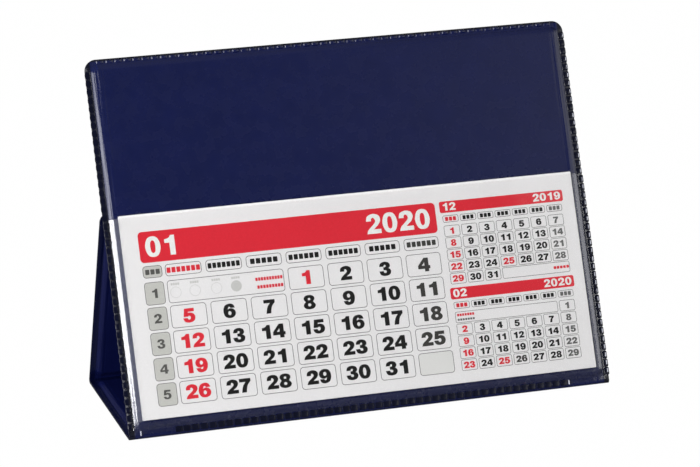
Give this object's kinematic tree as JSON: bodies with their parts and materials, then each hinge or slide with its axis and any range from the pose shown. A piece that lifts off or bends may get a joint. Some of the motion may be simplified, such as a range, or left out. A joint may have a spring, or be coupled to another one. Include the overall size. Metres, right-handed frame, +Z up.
{
  "type": "desk calendar",
  "caption": "Tent-shaped desk calendar: a welded vinyl cover folded to a triangle, with a pad of month sheets in a clear front pocket.",
  "frame": {"origin": "on the table, under the middle of the object's box", "axes": "+X to the reader's right along the folds, +Y from the front panel to the rear flap, +Z up; the front panel faces -Y"},
  "size_m": [0.2, 0.0674, 0.1378],
  "materials": {
    "cover_vinyl": "navy vinyl sheet, satin gloss, fine grain",
    "lining_vinyl": "navy vinyl sheet, satin",
    "board": "grey board, sealed inside the cover",
    "clear_film": "clear vinyl film, glossy",
    "paper": "coated white paper"
  },
  "bodies": {
    "root": {"outer_cover": "cover_vinyl", "inner_lining": "lining_vinyl", "front_board": "board", "base_board": "board", "flap_board": "board", "clear_pocket": "clear_film", "calendar_pad": "paper", "tuck_strip": "cover_vinyl"}
  },
  "joints": []
}
